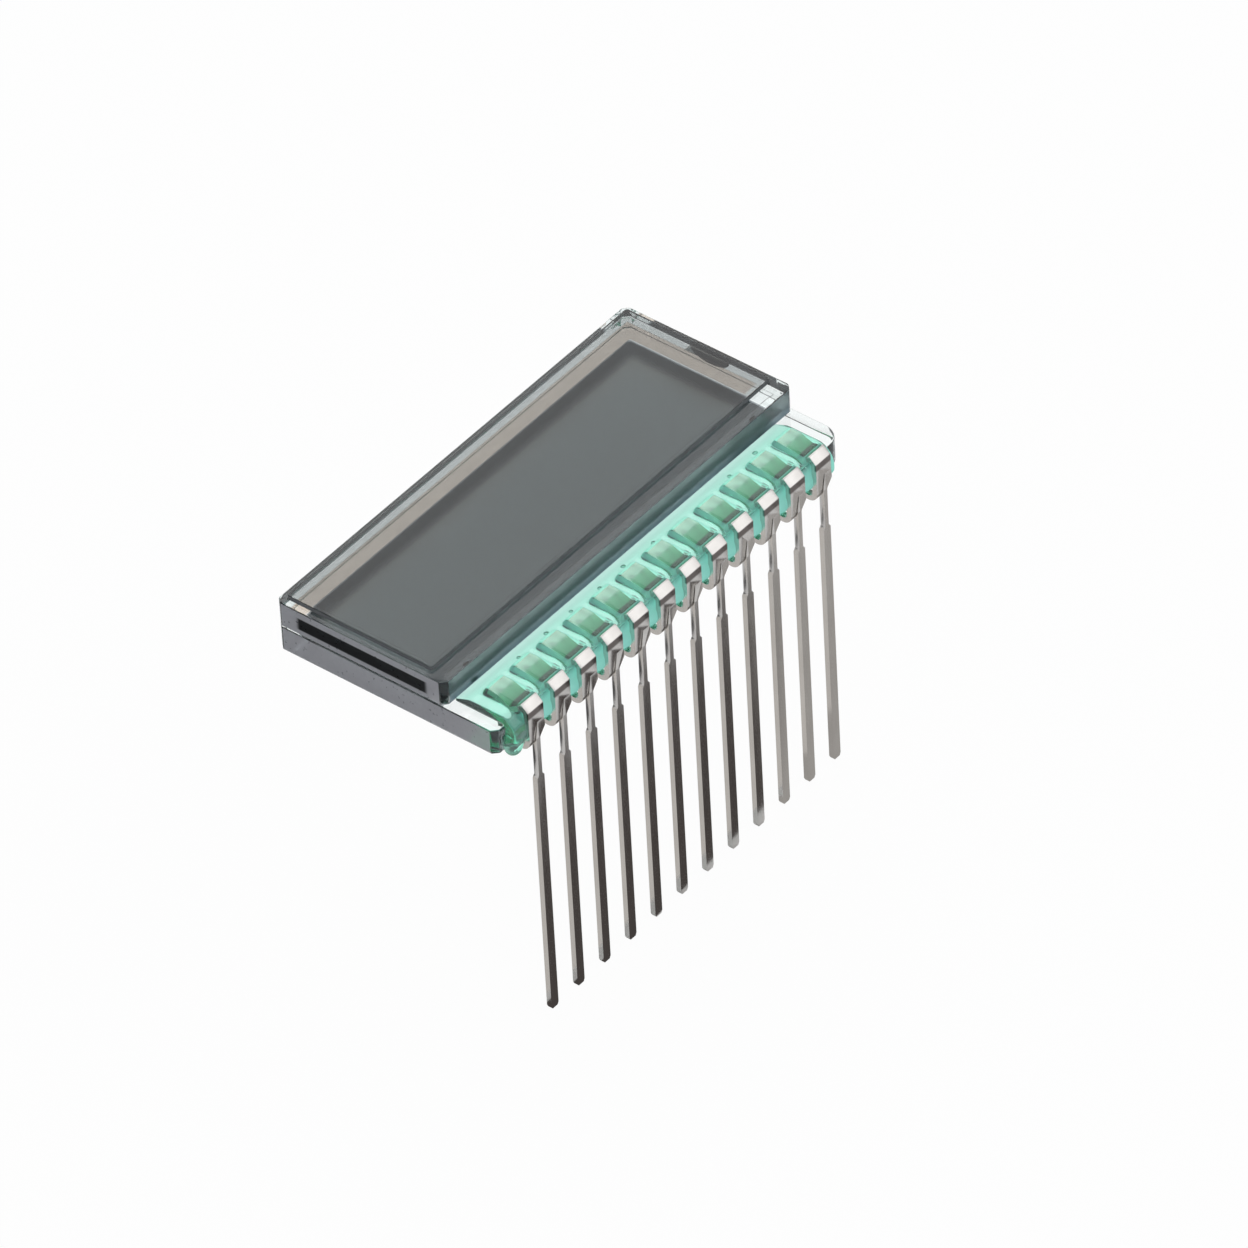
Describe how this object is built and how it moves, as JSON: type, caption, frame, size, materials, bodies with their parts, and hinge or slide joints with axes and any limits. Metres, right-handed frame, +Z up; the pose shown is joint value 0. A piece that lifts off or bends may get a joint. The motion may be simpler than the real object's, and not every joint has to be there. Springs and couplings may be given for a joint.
{
  "type": "segment lcd",
  "caption": "Small reflective segment display: two bonded glass plates with polarising films and a row of spring clip leads set in mint resin along one edge",
  "frame": {"origin": "middle of the row of lead tips, in the middle of the strip's thickness", "axes": "+X along the row of leads, +Y from the leads towards the far edge of the glass, +Z up out of the viewing face"},
  "size_m": [0.0203, 0.0106, 0.0153],
  "materials": {
    "plate_glass": "polished faces, cut edges",
    "polarizer": "smooth neutral grey film",
    "reflector": "satin metallised film",
    "liquid_crystal": "thin clear fluid layer",
    "sealing_glue": "cream cured glue",
    "silver_paste": "matt silver paste",
    "carbon_paste": "matt black paste",
    "mint_resin": "clear mint green cured resin",
    "tinned_bronze": "bright tin plating"
  },
  "bodies": {
    "root": {"front_polarizer": "polarizer", "front_glass": "plate_glass", "perimeter_seal": "sealing_glue", "end_seal": "sealing_glue", "liquid_crystal": "liquid_crystal", "transfer_dots": "silver_paste", "rear_glass": "plate_glass", "rear_polarizer": "polarizer", "reflector": "reflector", "carbon_paste_dots": "carbon_paste", "resin_bead": "mint_resin", "clip_pin_01": "tinned_bronze", "clip_pin_02": "tinned_bronze", "clip_pin_03": "tinned_bronze", "clip_pin_04": "tinned_bronze", "clip_pin_05": "tinned_bronze", "clip_pin_06": "tinned_bronze", "clip_pin_07": "tinned_bronze", "clip_pin_08": "tinned_bronze", "clip_pin_09": "tinned_bronze", "clip_pin_10": "tinned_bronze", "clip_pin_11": "tinned_bronze", "clip_pin_12": "tinned_bronze"}
  },
  "joints": []
}
